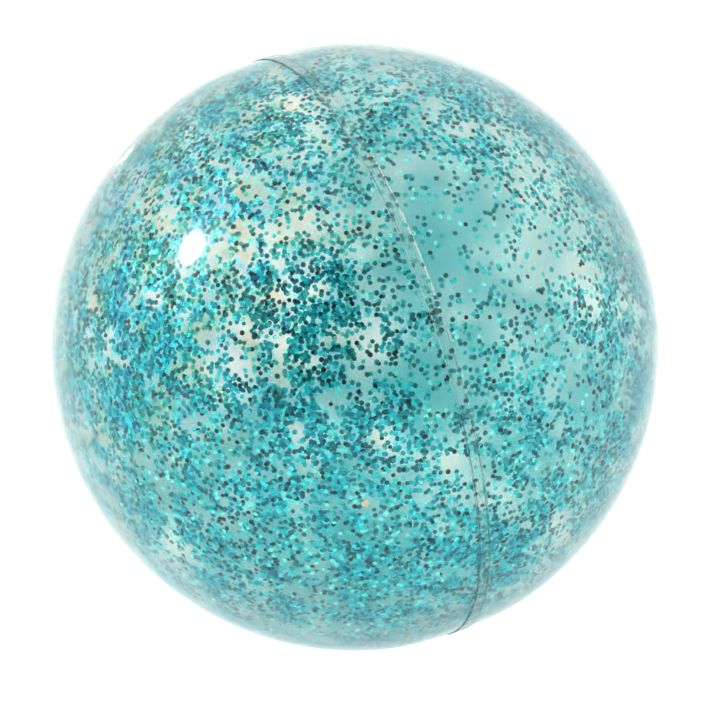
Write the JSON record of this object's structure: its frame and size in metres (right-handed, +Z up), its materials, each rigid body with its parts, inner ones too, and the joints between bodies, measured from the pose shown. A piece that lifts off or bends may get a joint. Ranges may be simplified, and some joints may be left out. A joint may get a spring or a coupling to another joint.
{
  "type": "beach ball",
  "caption": "Inflated clear beach ball of two lap-welded film panels, filled with clinging glitter, with a push-in inflation valve and stopper.",
  "frame": {"origin": "centre of the flat patch that the ball stands on, with the ball's centre straight above it", "axes": "+Z up, away from the ground; the valve's axis lies in the XZ plane, 10 degrees above +X"},
  "size_m": [0.3999, 0.3998, 0.3987],
  "materials": {
    "clear_film": "glossy",
    "weld": "glossy",
    "valve_vinyl": "satin",
    "glitter_teal": "metallic",
    "glitter_cyan": "metallic",
    "glitter_dark": "metallic",
    "glitter_bright": "metallic",
    "iridescent_star": "metallic"
  },
  "bodies": {
    "ball": {"panel_left": "clear_film", "panel_right": "clear_film", "weld_band": "weld", "valve_flange": "valve_vinyl", "valve_bellows": "valve_vinyl", "left_flake_1": "glitter_teal", "left_flake_2": "glitter_cyan", "left_flake_3": "glitter_dark", "left_flake_4": "glitter_bright", "left_flake_5": "glitter_teal", "left_flake_6": "glitter_cyan", "left_flake_7": "glitter_dark", "left_flake_8": "glitter_bright", "left_flake_9": "glitter_teal", "left_flake_10": "glitter_cyan", "left_flake_11": "glitter_dark", "left_flake_12": "glitter_bright", "right_flake_1": "glitter_teal", "right_flake_2": "glitter_cyan", "right_flake_3": "glitter_dark", "right_flake_4": "glitter_bright", "right_flake_5": "glitter_teal", "right_flake_6": "glitter_cyan", "right_flake_7": "glitter_dark", "right_flake_8": "glitter_bright", "right_flake_9": "glitter_teal", "right_flake_10": "glitter_cyan", "right_flake_11": "glitter_dark", "right_flake_12": "glitter_bright", "glitter_star_1": "iridescent_star", "glitter_star_2": "iridescent_star", "glitter_star_3": "iridescent_star", "glitter_star_4": "iridescent_star", "glitter_star_5": "iridescent_star", "glitter_star_6": "iridescent_star", "glitter_star_7": "iridescent_star", "glitter_star_8": "iridescent_star"},
    "valve_tube": {"valve_stem": "valve_vinyl", "flap_tab": "valve_vinyl", "stopper_strap": "valve_vinyl"},
    "stopper": {"valve_stopper": "valve_vinyl"},
    "flap": {"valve_flap": "valve_vinyl"},
    "loose_glitter": {"loose_flake_1": "glitter_cyan", "loose_flake_2": "glitter_dark", "loose_flake_3": "glitter_bright", "loose_flake_4": "glitter_teal", "loose_flake_5": "glitter_cyan", "loose_flake_6": "glitter_dark", "loose_flake_7": "glitter_bright", "loose_flake_8": "glitter_teal", "loose_flake_9": "glitter_cyan", "loose_flake_10": "glitter_dark", "loose_flake_11": "glitter_bright", "loose_flake_12": "glitter_teal"}
  },
  "joints": [
    {"name": "valve_push", "type": "slide", "parent": "ball", "child": "valve_tube", "axis": [0.9848, 0, 0.1736], "range_m": [0, 0.014], "deforming": ["valve_bellows"]},
    {"name": "stopper_pull", "type": "slide", "parent": "valve_tube", "child": "stopper", "axis": [0.9848, 0, 0.1736], "range_m": [0, 0.012], "deforming": ["stopper_strap"]},
    {"name": "flap_swing", "type": "hinge", "parent": "valve_tube", "child": "flap", "pos_m": [0.17615, 0, 0.23474], "axis": [0, 1, 0], "range_deg": [0, 60], "stiffness_Nm_per_rad": 0.0001},
    {"name": "glitter_slide", "type": "hinge", "parent": "ball", "child": "loose_glitter", "pos_m": [0, 0, 0.19891], "axis": [0.9848, 0, 0.1736], "continuous": true}
  ]
}
